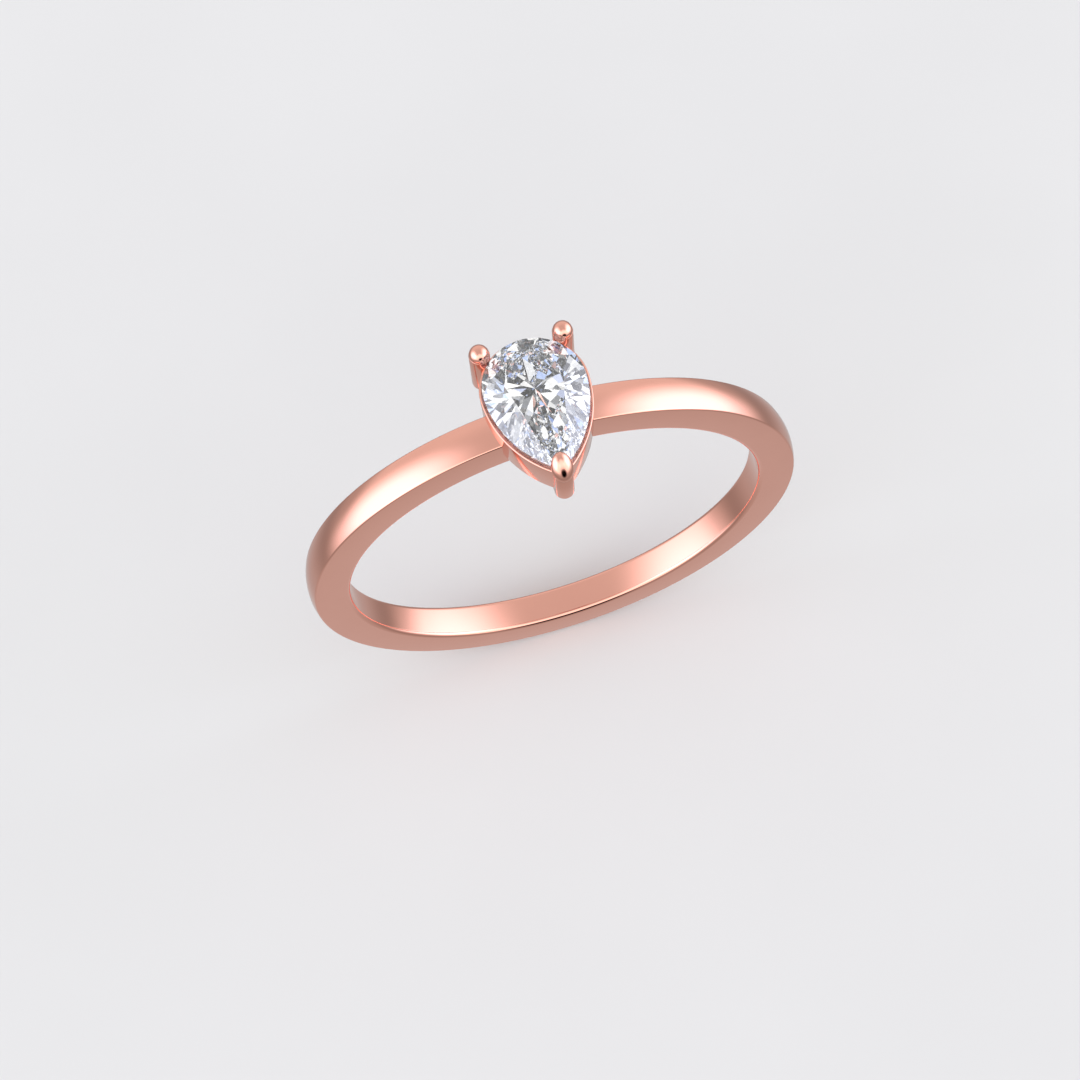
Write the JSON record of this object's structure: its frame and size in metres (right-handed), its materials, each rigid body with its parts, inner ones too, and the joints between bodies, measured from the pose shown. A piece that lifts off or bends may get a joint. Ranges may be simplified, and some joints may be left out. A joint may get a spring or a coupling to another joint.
{
  "type": "engagement ring",
  "caption": "Slim domed rose gold finger band with a pear-cut clear stone set in a matching low collet and held by wire prongs.",
  "frame": {"origin": "centre of the finger bore, halfway through the band's width", "axes": "+Y along the finger, towards the stone's rounded head; +Z from the bore's centre up through the stone; +X across the ring"},
  "size_m": [0.0206, 0.0061, 0.022],
  "materials": {
    "band_gold": "polished rose gold",
    "setting_gold": "polished rose gold",
    "gem": "clear polished facets"
  },
  "bodies": {
    "root": {"shank": "band_gold", "collet": "setting_gold", "prong_left": "setting_gold", "prong_right": "setting_gold", "prong_point": "setting_gold", "diamond": "gem"}
  },
  "joints": []
}
